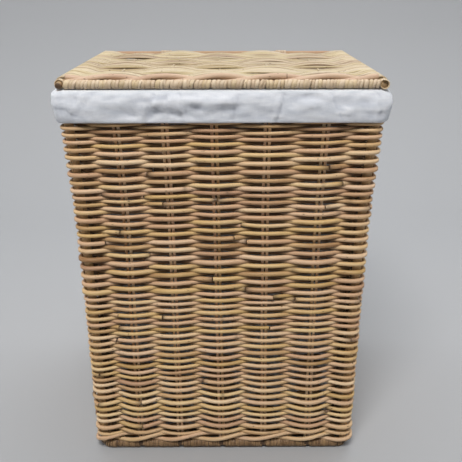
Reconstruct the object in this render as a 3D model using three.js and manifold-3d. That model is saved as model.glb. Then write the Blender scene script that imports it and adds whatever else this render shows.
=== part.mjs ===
// A lidded laundry basket of woven rattan cane with a cotton liner.
// Units are millimetres, +Z is up. The origin is the middle of the underside.
// X runs left to right along the wide front, Y runs from the front (-) to the hinged back (+).
import * as THREE from 'three';
import { mergeVertices } from 'three/addons/utils/BufferGeometryUtils.js';
import Module from 'manifold-3d';

// ---- driving dimensions -------------------------------------------------
const BODY_HALF_W = 218; // outside of the woven wall at the corners, low down
const BODY_HALF_D = 183;
const CORNER_R = 13.3; // outside rounding of the wall round a corner post
const WALL_SET_IN = 1.5; // the flat of the wall lies this far inside the corners
const WALL_T = 17; // woven wall, from the front passes to the back passes
const STAKE_SET_IN = 10; // middle of the stakes inside the corner's outside
const POST_SET_IN = 13.3;
const POST_R = 7;
const BLOCK = 27; // corner block of the weave that holds a post
const GAP = 0.5; // clearance of a stake or post in the weave
// The wall is upright at first and flares outwards under the rim: [height, half width].
const FLARE = [[0, 218], [340, 218], [400, 218.8], [450, 220], [505, 222.8], [560, 226], [611, 227]];

const BASE_BAR_R = 8; // base frame pole with its peel wrapping
const BASE_HALF_W = 207; // middle line of the base frame
const BASE_HALF_D = 172;
const BASE_CORNER_R = 15;
const BASE_WEAVE_Z = [3.5, 15.5];
const BASE_RIB_R = 4;
const BASE_RIB_X = [-140, -70, 0, 70, 140];

const WALE_Z = [16.6, 32];
const WEAVE_Z = [32.5, 592.6];
const STAKE_Z = [16.8, 595.4];
const POST_Z = [16.8, 593.2];
const STAKE_FRONT_X = [-142, -75, -4, 67, 142]; // five pairs, unevenly set by hand
const STAKE_BACK_X = [-142, -71, 0, 71, 142];
const STAKE_SIDE_Y = [-107, -36, 36, 107];

const RIM_R = 6;
const RIM_HALF_W = 219;
const RIM_HALF_D = 184;
const RIM_CORNER_R = 26;
const RIM_Z = 602;

const LINER_T = 1.6;
const BAG_SET_IN = 19.3; // outside of the bag inside the wall's corner face
const BAG_CORNER_R = 30;
const BAG_Z = 16.4;
const CUFF_HALF_W = 231;
const CUFF_HALF_D = 196;
const CUFF_T = 3; // cuff with its turned hem
const CUFF_CORNER_R = 17;
const CUFF_Z = [566, 610.2];
const SLIT_HALF = 15; // half width of the cuff's slits at the hinge loops

const LID_BAR_R = 6;
const LID_HALF_W = 224; // ends of the rear bar
const LID_SIDE_X = 218.5;
const LID_AXIS_Y = 184; // hinge axis: middle of the lid's rear bar
const LID_AXIS_Z = 617;
const LID_FRONT_Y = -184;
const LID_TWIST_Y = -171.6;
const LID_RIB_R = 3;
const LID_RIB_Z = 619.6;
const LID_RIB_X = [-152, -79, -5, 70, 147]; // uneven too
const LID_WEAVE_X = 212;
const LID_WEAVE_Z = [611.6, 629];

const LOOP_X = 108; // hinge loops, left and right of the middle
const LOOP_HALF = 11;
const LOOP_CLEAR = 0.4;
const LOOP_T = 2;

// ---- materials ----------------------------------------------------------
const mat = (color, roughness) => new THREE.MeshStandardMaterial({ color, roughness, metalness: 0 });
const cane = () => mat(0xc79f68, 0.62);
const caneLight = () => mat(0xdcc088, 0.6);
const canePink = () => mat(0xcfa077, 0.6);
const peel = () => mat(0xcdb07a, 0.58);
const pole = () => mat(0xb98e58, 0.65);
const cotton = () => mat(0xe6e9f0, 0.92);

const basket = new THREE.Group();
const body = new THREE.Group();
const lid = new THREE.Group();
basket.add(body, lid);
const put = (group, name, geometry, material) => {
  const mesh = new THREE.Mesh(geometry, material);
  mesh.name = name;
  group.add(mesh);
  return mesh;
};

// ---- helpers ------------------------------------------------------------
const wasm = await Module();
wasm.setup();
const bare = (geometry) => {
  const g = geometry.clone();
  g.deleteAttribute('normal');
  g.deleteAttribute('uv');
  return mergeVertices(g, 1e-4);
};
const solid = (geometry) => {
  const g = bare(geometry);
  return new wasm.Manifold(new wasm.Mesh({
    numProp: 3,
    vertProperties: new Float32Array(g.attributes.position.array),
    triVerts: new Uint32Array(g.index.array),
  }));
};
const shown = (manifold) => {
  const m = manifold.getMesh();
  const g = new THREE.BufferGeometry();
  g.setAttribute('position', new THREE.BufferAttribute(new Float32Array(m.vertProperties), 3));
  g.setIndex(Array.from(m.triVerts));
  g.computeVertexNormals();
  return g;
};
const box = (x0, x1, y0, y1, z0, z1) =>
  new THREE.BoxGeometry(x1 - x0, y1 - y0, z1 - z0).translate((x0 + x1) / 2, (y0 + y1) / 2, (z0 + z1) / 2);

const halfWidth = (z) => {
  for (let i = 1; i < FLARE.length; i++) {
    const [za, wa] = FLARE[i - 1], [zb, wb] = FLARE[i];
    if (z <= zb) return wa + ((wb - wa) * (z - za)) / (zb - za);
  }
  return FLARE[FLARE.length - 1][1];
};
// Moves a point of the upright basket out to the flared wall.
const flare = (x, y, z) => {
  const out = halfWidth(z) - BODY_HALF_W;
  return [x * (1 + out / BODY_HALF_W), y * (1 + out / BODY_HALF_D), z];
};
// An upright prism of a plan shape, from z0 to z1, that follows the flare.
const flared = (shape, z0, z1) => {
  const levels = [z0, ...FLARE.map(([z]) => z).filter((z) => z > z0 + 1 && z < z1 - 1 && z >= 340), z1];
  const steps = levels.length - 1;
  const g = new THREE.ExtrudeGeometry(shape, { depth: steps, steps, bevelEnabled: false, curveSegments: 3 });
  const p = g.attributes.position;
  for (let i = 0; i < p.count; i++) {
    const z = levels[Math.round(p.getZ(i))];
    p.setXYZ(i, ...flare(p.getX(i), p.getY(i), z));
  }
  return g;
};
const outline = (points, type = THREE.Shape) => new type(points.map(([x, y]) => new THREE.Vector2(x, y)));
// Points of a rounded rectangle, anticlockwise, n points to each corner.
const roundRect = (a, b, r, n = 4) => {
  const points = [];
  for (const [sx, sy, start] of [[1, 1, 0], [-1, 1, 90], [-1, -1, 180], [1, -1, 270]]) {
    for (let i = 0; i < n; i++) {
      const t = THREE.MathUtils.degToRad(start + (90 * i) / (n - 1));
      points.push([sx * (a - r) + r * Math.cos(t), sy * (b - r) + r * Math.sin(t)]);
    }
  }
  return points;
};
const polygon = (x, y, r, sides, turn = 0) =>
  Array.from({ length: sides }, (_, i) => {
    const t = turn + (2 * Math.PI * i) / sides;
    return [x + r * Math.cos(t), y + r * Math.sin(t)];
  });
// Two round stakes side by side, as one section. along is 'x' or 'y'.
const pair = (x, y, along, grow = 0) => {
  const a = 5.4 + grow, b = 2.1 + grow, c = 3.7 + grow;
  const s = [[-a, 0], [-c, -b], [c, -b], [a, 0], [c, b], [-c, b]];
  return s.map(([u, v]) => (along === 'x' ? [x + u, y + v] : [x - v, y + u]));
};
// A pole of an eight-sided section that runs once round a rounded rectangle.
const ring = (a, b, r, z, radius) => {
  const path = roundRect(a, b, r, 5);
  const n = path.length;
  const flat = radius / Math.cos(Math.PI / 8);
  const section = Array.from({ length: 9 }, (_, j) => {
    const t = Math.PI / 8 + (2 * Math.PI * j) / 8;
    return new THREE.Vector2(1000 + flat * Math.cos(t), z + flat * Math.sin(t));
  });
  const g = new THREE.LatheGeometry(section, n);
  const p = g.attributes.position;
  for (let i = 0; i <= n; i++) {
    const [x, y] = path[i % n];
    const k = Math.floor((i % n) / 5);
    const t = THREE.MathUtils.degToRad(90 * k + (90 * ((i % n) % 5)) / 4);
    for (let j = 0; j < 9; j++) {
      const d = section[j].x - 1000;
      p.setXYZ(i * 9 + j, x + d * Math.cos(t), y + d * Math.sin(t), section[j].y);
    }
  }
  return shown(solid(g).volume() > 0 ? solid(g) : solid(turned(g)));
};
const turned = (geometry) => {
  const g = bare(geometry);
  const index = Array.from(g.index.array);
  for (let i = 0; i < index.length; i += 3) [index[i], index[i + 1]] = [index[i + 1], index[i]];
  g.setIndex(index);
  return g;
};
// A straight pole between two points, eight-sided with flats facing up and down.
const bar = (from, to, radius, sides = 8) => {
  const a = new THREE.Vector3(...from), b = new THREE.Vector3(...to);
  const g = new THREE.CylinderGeometry(radius / Math.cos(Math.PI / sides), radius / Math.cos(Math.PI / sides), a.distanceTo(b), sides);
  g.rotateY(Math.PI / sides);
  g.applyQuaternion(new THREE.Quaternion().setFromUnitVectors(new THREE.Vector3(0, 1, 0), b.clone().sub(a).normalize()));
  return g.translate((a.x + b.x) / 2, (a.y + b.y) / 2, (a.z + b.z) / 2);
};

// ---- basket body --------------------------------------------------------
const W = BODY_HALF_W, D = BODY_HALF_D;
const postX = W - POST_SET_IN, postY = D - POST_SET_IN;
const stakeY = D - STAKE_SET_IN, stakeX = W - STAKE_SET_IN;

put(body, 'base_frame', ring(BASE_HALF_W, BASE_HALF_D, BASE_CORNER_R, BASE_BAR_R, BASE_BAR_R), pole());

// Woven floor with its ribs, inside the base frame.
const floorHalfW = BASE_HALF_W - BASE_BAR_R - 0.4, floorHalfD = BASE_HALF_D - BASE_BAR_R - 0.4;
const ribZ = (BASE_WEAVE_Z[0] + BASE_WEAVE_Z[1]) / 2;
let floor = solid(new THREE.ExtrudeGeometry(outline(roundRect(floorHalfW, floorHalfD, 18)), {
  depth: BASE_WEAVE_Z[1] - BASE_WEAVE_Z[0], bevelEnabled: false,
}).translate(0, 0, BASE_WEAVE_Z[0]));
for (const [i, x] of BASE_RIB_X.entries()) {
  floor = floor.subtract(solid(bar([x, -floorHalfD - 5, ribZ], [x, floorHalfD + 5, ribZ], BASE_RIB_R + GAP)));
  put(body, `base_rib_${i + 1}`, bar([x, -floorHalfD, ribZ], [x, floorHalfD, ribZ], BASE_RIB_R), pole());
}
put(body, 'base_weave', shown(floor), cane());

// The stakes and posts, which stand in the base frame and end under the rim.
const stakes = [
  ...STAKE_FRONT_X.map((x, i) => [`stake_pair_front_${i + 1}`, x, -stakeY, 'x']),
  ...STAKE_BACK_X.map((x, i) => [`stake_pair_back_${i + 1}`, x, stakeY, 'x']),
  ...STAKE_SIDE_Y.map((y, i) => [`stake_pair_left_${i + 1}`, -stakeX, y, 'y']),
  ...STAKE_SIDE_Y.map((y, i) => [`stake_pair_right_${i + 1}`, stakeX, y, 'y']),
];
const posts = [
  ['corner_post_front_left', -postX, -postY], ['corner_post_front_right', postX, -postY],
  ['corner_post_back_left', -postX, postY], ['corner_post_back_right', postX, postY],
];
const postHole = (x, y) => outline(polygon(x, y, POST_R + GAP, 8, Math.PI / 8), THREE.Path);
const stakeHole = ([, x, y, along]) => outline(pair(x, y, along, GAP), THREE.Path);

// Front and back walls take in the corners; the side walls fit between them.
const arc = (cx, cy, start, n = 4) =>
  Array.from({ length: n }, (_, i) => {
    const t = THREE.MathUtils.degToRad(start + (90 * i) / (n - 1));
    return [cx + CORNER_R * Math.cos(t), cy + CORNER_R * Math.sin(t)];
  });
const wideWall = (side, span) => {
  const face = D - WALL_SET_IN, back = D - WALL_SET_IN - WALL_T;
  const bx = W - BLOCK, by = D - BLOCK;
  const points = [
    ...arc(-postX, -postY, 180), [-bx + 2, -face], [bx - 2, -face], ...arc(postX, -postY, 270),
    [W, -by], [bx, -by], [bx, -back], [-bx, -back], [-bx, -by], [-W, -by],
  ];
  const shape = outline(side < 0 ? points : points.map(([x, y]) => [-x, -y]));
  for (const [, x, y] of posts) if (Math.sign(y) === side) shape.holes.push(postHole(x, y));
  for (const s of stakes) if (s[3] === 'x' && Math.sign(s[2]) === side) shape.holes.push(stakeHole(s));
  return flared(shape, ...span);
};
const sideWall = (side, span) => {
  const out = W - WALL_SET_IN, y = D - BLOCK - 0.4;
  const x0 = side < 0 ? -out : out - WALL_T, x1 = side < 0 ? -out + WALL_T : out;
  const shape = outline([[x0, -y], [x1, -y], [x1, y], [x0, y]]);
  for (const s of stakes) if (s[3] === 'y' && Math.sign(s[1]) === side) shape.holes.push(stakeHole(s));
  return flared(shape, ...span);
};
// The two-strand wale runs round the foot, and the weave stands on it.
put(body, 'base_wale_front', wideWall(-1, WALE_Z), canePink());
put(body, 'base_wale_back', wideWall(1, WALE_Z), canePink());
put(body, 'base_wale_left', sideWall(-1, WALE_Z), canePink());
put(body, 'base_wale_right', sideWall(1, WALE_Z), canePink());
put(body, 'weave_front', wideWall(-1, WEAVE_Z), cane());
put(body, 'weave_back', wideWall(1, WEAVE_Z), cane());
put(body, 'weave_left', sideWall(-1, WEAVE_Z), cane());
put(body, 'weave_right', sideWall(1, WEAVE_Z), cane());
for (const [name, x, y] of posts) {
  put(body, name, flared(outline(polygon(x, y, POST_R, 8, Math.PI / 8)), ...POST_Z), pole());
}
for (const [name, x, y, along] of stakes) {
  put(body, name, flared(outline(pair(x, y, along)), ...STAKE_Z), caneLight());
}

put(body, 'rim_frame', ring(RIM_HALF_W, RIM_HALF_D, RIM_CORNER_R, RIM_Z, RIM_R), pole());

// Cotton liner: a bag that hangs inside, folded over the rim into a cuff.
const bagW = W - BAG_SET_IN, bagD = D - BAG_SET_IN;
const bagOut = flared(outline(roundRect(bagW, bagD, BAG_CORNER_R)), BAG_Z, CUFF_Z[1]);
const bagIn = flared(outline(roundRect(bagW - LINER_T, bagD - LINER_T, BAG_CORNER_R - LINER_T)), BAG_Z + LINER_T, CUFF_Z[1] + 20);
const band = (z0, z1, inner) => {
  const shape = outline(roundRect(CUFF_HALF_W, CUFF_HALF_D, CUFF_CORNER_R));
  shape.holes.push(outline(inner, THREE.Path));
  return solid(new THREE.ExtrudeGeometry(shape, { depth: z1 - z0, bevelEnabled: false }).translate(0, 0, z0));
};
const cuff = band(...CUFF_Z, roundRect(CUFF_HALF_W - CUFF_T, CUFF_HALF_D - CUFF_T, CUFF_CORNER_R - CUFF_T));
const foldIn = roundRect(bagW - LINER_T / 2, bagD - LINER_T / 2, BAG_CORNER_R - LINER_T / 2).map(([x, y]) => flare(x, y, CUFF_Z[1]));
const fold = band(CUFF_Z[1] - LINER_T, CUFF_Z[1], foldIn);
let liner = solid(bagOut).subtract(solid(bagIn)).add(cuff).add(fold);
for (const x of [-LOOP_X, LOOP_X]) {
  liner = liner.subtract(solid(box(x - SLIT_HALF, x + SLIT_HALF, 160, 210, 586, 640)));
}
put(body, 'liner', shown(liner), cotton());

// Hinge loops of peel round the rim and the lid's rear bar, running free on the lid's bar.
const loopGeometry = (x) => {
  const stadium = (r, type) => {
    const points = [];
    for (let i = 0; i <= 8; i++) points.push([LID_AXIS_Y + r * Math.cos((Math.PI * i) / 8), LID_AXIS_Z + r * Math.sin((Math.PI * i) / 8)]);
    for (let i = 8; i <= 16; i++) points.push([RIM_HALF_D + r * Math.cos((Math.PI * i) / 8), RIM_Z + r * Math.sin((Math.PI * i) / 8)]);
    return outline(points, type);
  };
  const inner = (LID_BAR_R + LOOP_CLEAR) / Math.cos(Math.PI / 8) ;
  const shape = stadium(inner + LOOP_T, THREE.Shape);
  shape.holes.push(stadium(inner, THREE.Path));
  const g = new THREE.ExtrudeGeometry(shape, { depth: 2 * LOOP_HALF, bevelEnabled: false });
  // Shape X, Y and depth become the basket's Y, Z and X.
  g.applyMatrix4(new THREE.Matrix4().makeBasis(new THREE.Vector3(0, 1, 0), new THREE.Vector3(0, 0, 1), new THREE.Vector3(1, 0, 0)));
  return g.translate(x - LOOP_HALF, 0, 0);
};
put(body, 'hinge_loop_left', loopGeometry(-LOOP_X), peel());
put(body, 'hinge_loop_right', loopGeometry(LOOP_X), peel());

// ---- lid ----------------------------------------------------------------
const sideEnd = LID_AXIS_Y - LID_BAR_R - 0.8;
put(lid, 'lid_bar_rear', bar([-LID_HALF_W, LID_AXIS_Y, LID_AXIS_Z], [LID_HALF_W, LID_AXIS_Y, LID_AXIS_Z], LID_BAR_R), peel());
put(lid, 'lid_bar_left', bar([-LID_SIDE_X, -190, LID_AXIS_Z], [-LID_SIDE_X, sideEnd, LID_AXIS_Z], LID_BAR_R), pole());
put(lid, 'lid_bar_right', bar([LID_SIDE_X, -190, LID_AXIS_Z], [LID_SIDE_X, sideEnd, LID_AXIS_Z], LID_BAR_R), pole());
const frontEnd = LID_SIDE_X - LID_BAR_R - 0.4;
put(lid, 'lid_bar_front', bar([-frontEnd, LID_FRONT_Y, LID_AXIS_Z], [frontEnd, LID_FRONT_Y, LID_AXIS_Z], LID_BAR_R), peel());

const ribEnd = LID_AXIS_Y - LID_BAR_R - 0.6;
const ribHole = (x) => solid(bar([x, -200, LID_RIB_Z], [x, 200, LID_RIB_Z], LID_RIB_R + GAP));
for (const [i, x] of LID_RIB_X.entries()) {
  put(lid, `lid_rib_${i + 1}`, bar([x, -ribEnd, LID_RIB_Z], [x, ribEnd, LID_RIB_Z], LID_RIB_R), pole());
}
// Section of the lid's weave, front to back; it thins towards the rear bar.
const alongX = (section, x0, x1) => {
  const g = new THREE.ExtrudeGeometry(outline(section), { depth: x1 - x0, bevelEnabled: false });
  g.applyMatrix4(new THREE.Matrix4().makeBasis(new THREE.Vector3(0, 1, 0), new THREE.Vector3(0, 0, 1), new THREE.Vector3(1, 0, 0)));
  return g.translate(x0, 0, 0);
};
const [lz0, lz1] = LID_WEAVE_Z;
const twist = alongX([
  [LID_TWIST_Y - 5.6, lz0 + 3], [LID_TWIST_Y - 2.5, lz0], [LID_TWIST_Y + 2.5, lz0], [LID_TWIST_Y + 5.6, lz0 + 3],
  [LID_TWIST_Y + 5.6, lz0 + 12.5], [LID_TWIST_Y + 2, lz0 + 15], [LID_TWIST_Y - 2, lz0 + 15], [LID_TWIST_Y - 5.6, lz0 + 12.5],
], -LID_WEAVE_X, LID_WEAVE_X);
const weave = alongX([
  [LID_TWIST_Y + 6.1, lz0], [sideEnd + 0.2, lz0], [sideEnd + 0.2, lz0 + 10.2], [sideEnd - 10, lz0 + 11.6], [sideEnd - 26, lz1],
  [LID_TWIST_Y + 20, lz1], [LID_TWIST_Y + 6.1, lz1 - 2.5],
], -LID_WEAVE_X, LID_WEAVE_X);
let lidWeave = solid(weave), lidTwist = solid(twist);
for (const x of LID_RIB_X) {
  lidWeave = lidWeave.subtract(ribHole(x));
  lidTwist = lidTwist.subtract(ribHole(x));
}
for (const x of [-LOOP_X, LOOP_X]) {
  lidWeave = lidWeave.subtract(solid(box(x - LOOP_HALF - 2, x + LOOP_HALF + 2, LID_AXIS_Y - 12.5, 200, 600, 640)));
}
put(lid, 'lid_weave', shown(lidWeave), caneLight());
put(lid, 'lid_twist_front', shown(lidTwist), canePink());

export default basket;
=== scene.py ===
"""A lidded laundry basket of woven rattan with a cotton liner: the looks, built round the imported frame."""
import math

import bpy
import numpy as np
from mathutils import Matrix, Vector


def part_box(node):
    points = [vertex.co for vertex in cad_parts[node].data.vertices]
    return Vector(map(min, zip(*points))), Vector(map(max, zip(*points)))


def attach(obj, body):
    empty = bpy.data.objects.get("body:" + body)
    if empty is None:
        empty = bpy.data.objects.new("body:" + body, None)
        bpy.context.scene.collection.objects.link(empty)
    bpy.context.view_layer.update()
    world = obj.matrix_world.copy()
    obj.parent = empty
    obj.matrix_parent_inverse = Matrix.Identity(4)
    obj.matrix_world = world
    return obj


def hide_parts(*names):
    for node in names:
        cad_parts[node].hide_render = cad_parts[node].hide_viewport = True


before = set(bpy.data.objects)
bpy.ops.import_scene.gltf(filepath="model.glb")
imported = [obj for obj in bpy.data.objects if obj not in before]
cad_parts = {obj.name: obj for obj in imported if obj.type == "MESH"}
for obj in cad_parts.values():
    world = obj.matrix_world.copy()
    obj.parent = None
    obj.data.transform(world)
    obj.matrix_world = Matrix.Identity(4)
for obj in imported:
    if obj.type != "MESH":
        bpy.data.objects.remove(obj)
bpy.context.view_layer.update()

rng = np.random.default_rng(20477)
TAU = 2 * math.pi


def mm(node):
    """A node's box in millimetres."""
    lo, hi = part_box(node)
    return np.array(lo) * 1000, np.array(hi) * 1000


# ---------------------------------------------------------------- dimensions
# The frame is in metres; everything below is worked out in millimetres.
W, D = 218.0, 183.0  # outside of the wall, low down
FLARE_Z = np.array([-50, 0, 200, 340, 400, 450, 505, 560, 611, 700.0])
FLARE_W = np.array([0, 0, 0, 0.1, 0.8, 2.1, 4.8, 7.9, 9.2, 9.6])
STAKE_IN, POST_IN, POST_R = 10.0, 13.3, 7.0
STAKE_R = 2.1
RIM_Z, RIM_R = 602.0, 6.0
AXIS_Y, AXIS_Z = 184.0, 617.0
LOOP_X = float(mm("hinge_loop_right")[0][0] + mm("hinge_loop_right")[1][0]) / 2
LID_X = 218.5
LID_RIBS = np.array([-152.0, -79.0, -5.0, 70.0, 147.0])


def out_at(z):
    """How far the wall stands outside its straight foot at height z."""
    return np.interp(z, FLARE_Z, FLARE_W)


def flare(p):
    """Moves points of the upright basket out to the flared wall."""
    p = np.array(p, float)
    o = out_at(p[..., 2])
    p[..., 0] *= 1 + o / W
    p[..., 1] *= 1 + o / D
    return p


# ---------------------------------------------------------------- mesh helpers
def unit(v):
    return v / np.maximum(np.linalg.norm(v, axis=-1, keepdims=True), 1e-9)


def make_mesh(name, verts, quads, tris=None, attrs=None):
    """verts in millimetres, quads (n, 4), tris (m, 3); attrs is {name: (n, 3)} on points."""
    me = bpy.data.meshes.new(name)
    quads = np.asarray(quads, np.int64).reshape(-1, 4)
    tris = np.zeros((0, 3), np.int64) if tris is None else np.asarray(tris, np.int64).reshape(-1, 3)
    me.vertices.add(len(verts))
    me.vertices.foreach_set("co", (np.asarray(verts, np.float64) * 0.001).astype(np.float32).ravel())
    loops = np.concatenate([quads.ravel(), tris.ravel()]).astype(np.int32)
    me.loops.add(len(loops))
    me.loops.foreach_set("vertex_index", loops)
    total = np.concatenate([np.full(len(quads), 4), np.full(len(tris), 3)]).astype(np.int32)
    me.polygons.add(len(total))
    me.polygons.foreach_set("loop_start", np.concatenate([[0], np.cumsum(total)[:-1]]).astype(np.int32))
    me.polygons.foreach_set("loop_total", total)
    me.polygons.foreach_set("use_smooth", np.ones(len(total), bool))
    me.update(calc_edges=True)
    me.validate()
    for key, values in (attrs or {}).items():
        a = me.attributes.new(key, "FLOAT_VECTOR", "POINT")
        a.data.foreach_set("vector", np.asarray(values, np.float32).ravel())
    o = bpy.data.objects.new(name, me)
    bpy.context.scene.collection.objects.link(o)
    return o


class Canes:
    """Collects round or flat canes into one mesh, with grain and tint attributes."""

    def __init__(self):
        self.v, self.g, self.t, self.q, self.tri, self.n = [], [], [], [], [], 0

    def add(self, p, r, ref=(0, 0, 1), closed=False, sides=8, flat=(1, 1), square=1.0,
            tone=0.5, hue=0.5, dark=0.0, cut=0.75, phase=0.0):
        p = np.asarray(p, float)
        n = len(p)
        r = np.broadcast_to(np.asarray(r, float), (n,))
        ref = np.broadcast_to(np.asarray(ref, float), (n, 3))
        if closed:
            t = unit(np.roll(p, -1, 0) - np.roll(p, 1, 0))
            step = np.linalg.norm(p - np.roll(p, 1, 0), axis=1)
            step[0] = 0
        else:
            t = unit(np.gradient(p, axis=0))
            step = np.concatenate([[0], np.linalg.norm(np.diff(p, axis=0), axis=1)])
        u = np.cumsum(step)
        e1 = unit(np.cross(t, ref))
        e2 = np.cross(e1, t)
        a = TAU * (np.arange(sides) + phase) / sides
        c, s = np.cos(a), np.sin(a)
        if square != 1.0:
            c, s = np.sign(c) * np.abs(c) ** square, np.sign(s) * np.abs(s) ** square
        ca, sb = c[None, :] * r[:, None] * flat[0], s[None, :] * r[:, None] * flat[1]
        ring = p[:, None] + e1[:, None] * ca[..., None] + e2[:, None] * sb[..., None]
        off = rng.random(3) * 4000
        grain = np.stack([np.broadcast_to(u[:, None], ca.shape) + off[0], ca + off[1], sb + off[2]], -1)
        tone = np.broadcast_to(np.asarray(tone, float), (n,))
        hue = np.broadcast_to(np.asarray(hue, float), (n,))
        dark = np.broadcast_to(np.asarray(dark, float), (n,))
        tint = np.broadcast_to(np.stack([tone, hue, dark], -1)[:, None], ring.shape)
        idx = self.n + np.arange(n * sides).reshape(n, sides)
        nxt = np.roll(idx, -1, 1)
        if closed:
            a0, a1 = idx, np.roll(idx, -1, 0)
            b0, b1 = nxt, np.roll(nxt, -1, 0)
        else:
            a0, a1, b0, b1 = idx[:-1], idx[1:], nxt[:-1], nxt[1:]
        self.q.append(np.stack([a0, a1, b1, b0], -1).reshape(-1, 4))
        self.v.append(ring.reshape(-1, 3))
        self.g.append(grain.reshape(-1, 3))
        self.t.append(tint.reshape(-1, 3))
        self.n += n * sides
        if closed:
            return self
        for end in (0, n - 1):  # a slightly broken edge, then the cut face
            way = -t[end] if end == 0 else t[end]
            depth = 0.22 * r[end] * min(flat)
            inner = p[end] + (ring[end] - p[end]) * 0.8 + way * depth
            rim = self.n + np.arange(sides)
            core = self.n + sides
            self.v.append(np.concatenate([inner, [p[end] + way * depth * 1.05]]))
            self.g.append(np.concatenate([grain[end], grain[end].mean(0)[None]]))
            self.t.append(np.tile([tone[end], hue[end], max(cut, dark[end])], (sides + 1, 1)))
            self.n += sides + 1
            ring_i = idx[end]
            rn, cn = np.roll(ring_i, -1), np.roll(rim, -1)
            if end == 0:
                self.q.append(np.stack([rim, ring_i, rn, cn], -1))
                self.tri.append(np.stack([np.full(sides, core), rim, cn], -1))
            else:
                self.q.append(np.stack([ring_i, rim, cn, rn], -1))
                self.tri.append(np.stack([np.full(sides, core), cn, rim], -1))
        return self

    def build(self, name, material, body, slot, *nodes):
        o = make_mesh(name, np.concatenate(self.v), np.concatenate(self.q),
                      np.concatenate(self.tri) if self.tri else None,
                      {"grain": np.concatenate(self.g), "tint": np.concatenate(self.t)})
        o.data.materials.append(material)
        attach(o, body)
        if nodes:
            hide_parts(*nodes)
        return o


def closed_spline(points, n, carry=None):
    """n points evenly along a closed cubic spline through points, with carry (one number per point) brought along."""
    P = np.asarray(points, float)
    m = len(P)
    nx = np.roll(P, -1, 0)
    h = np.linalg.norm(nx - P, axis=1)
    hp = np.roll(h, 1)
    A = np.zeros((m, m))
    i = np.arange(m)
    A[i, i] = 2 * (hp + h)
    A[i, (i - 1) % m] += hp
    A[i, (i + 1) % m] += h
    rhs = 6 * ((nx - P) / h[:, None] - (P - np.roll(P, 1, 0)) / hp[:, None])
    M = np.linalg.solve(A, rhs)
    Mn = np.roll(M, -1, 0)
    fine = 12
    x = (np.arange(fine) / fine)[None, :, None]
    H = h[:, None, None]
    a, b = (1 - x) * H, x * H
    Q = (M[:, None] * a**3 + Mn[:, None] * b**3) / (6 * H) + (P[:, None] / H - M[:, None] * H / 6) * a + (nx[:, None] / H - Mn[:, None] * H / 6) * b
    Q = Q.reshape(-1, P.shape[1])
    s = np.concatenate([[0], np.cumsum(np.linalg.norm(np.roll(Q, -1, 0) - Q, axis=1))])
    want = np.arange(n) / n * s[-1]
    Qc = np.concatenate([Q, Q[:1]])
    R = np.stack([np.interp(want, s, Qc[:, j]) for j in range(P.shape[1])], 1)
    if carry is None:
        return R
    c = np.asarray(carry, float)
    cn = np.concatenate([c[1:], [c[0] + 22.0]])
    C = (c[:, None] * (1 - x[:, :, 0]) + cn[:, None] * x[:, :, 0]).ravel()
    C = np.concatenate([C, [c[0] + 22.0]])
    return R, np.interp(want, s, C)


def smooth_noise(n, step, amp, closed=False):
    """A smooth random line of n values, with a knot every step."""
    k = max(int(n / step) + (0 if closed else 3), 3)
    knots = rng.normal(0, amp, k)
    if closed:
        x = np.arange(n) / n * k
        i = np.floor(x).astype(int)
        f = x - i
        f = f * f * (3 - 2 * f)
        return knots[i % k] * (1 - f) + knots[(i + 1) % k] * f
    x = np.arange(n) / step
    i = np.clip(np.floor(x).astype(int), 0, k - 2)
    f = x - i
    f = f * f * (3 - 2 * f)
    return knots[i] * (1 - f) + knots[i + 1] * f


# ---------------------------------------------------------------- materials
def nodes_of(name):
    m = bpy.data.materials.new(name)
    m.use_nodes = True
    nt = m.node_tree
    nt.nodes.clear()
    out = nt.nodes.new("ShaderNodeOutputMaterial")
    bsdf = nt.nodes.new("ShaderNodeBsdfPrincipled")
    nt.links.new(bsdf.outputs["BSDF"], out.inputs["Surface"])
    return m, nt, bsdf


def math_node(nt, op, a, b=None, clamp=False):
    n = nt.nodes.new("ShaderNodeMath")
    n.operation = op
    n.use_clamp = clamp
    for i, v in enumerate((a, b)):
        if v is None:
            continue
        if isinstance(v, (int, float)):
            n.inputs[i].default_value = v
        else:
            nt.links.new(v, n.inputs[i])
    return n.outputs[0]


def scaled(nt, vector, scale):
    n = nt.nodes.new("ShaderNodeVectorMath")
    n.operation = "MULTIPLY"
    nt.links.new(vector, n.inputs[0])
    n.inputs[1].default_value = scale
    return n.outputs[0]


def noise(nt, vector, detail=2.0, rough=0.5, distortion=0.0):
    n = nt.nodes.new("ShaderNodeTexNoise")
    n.inputs["Scale"].default_value = 1.0
    n.inputs["Detail"].default_value = detail
    n.inputs["Roughness"].default_value = rough
    n.inputs["Distortion"].default_value = distortion
    nt.links.new(vector, n.inputs["Vector"])
    return n.outputs["Fac"]


def ramp(nt, value, stops):
    n = nt.nodes.new("ShaderNodeValToRGB")
    e = n.color_ramp.elements
    while len(e) > 1:
        e.remove(e[-1])
    e[0].position, e[0].color = stops[0][0], (*stops[0][1], 1)
    for pos, col in stops[1:]:
        k = e.new(pos)
        k.color = (*col, 1)
    nt.links.new(value, n.inputs["Fac"])
    return n.outputs["Color"]


def mix(nt, fac, a, b, mode="MIX"):
    n = nt.nodes.new("ShaderNodeMix")
    n.data_type = "RGBA"
    n.blend_type = mode
    ins = {"f": n.inputs[0], "a": n.inputs[6], "b": n.inputs[7]}
    for key, v in (("f", fac), ("a", a), ("b", b)):
        if isinstance(v, (int, float)):
            ins[key].default_value = v
        elif isinstance(v, tuple):
            ins[key].default_value = (*v, 1)
        else:
            nt.links.new(v, ins[key])
    return n.outputs[2]


def maprange(nt, v, a, b, c=0.0, d=1.0):
    n = nt.nodes.new("ShaderNodeMapRange")
    n.interpolation_type = "SMOOTHSTEP"
    nt.links.new(v, n.inputs["Value"])
    for key, x in (("From Min", a), ("From Max", b), ("To Min", c), ("To Max", d)):
        n.inputs[key].default_value = x
    return n.outputs["Result"]


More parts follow.
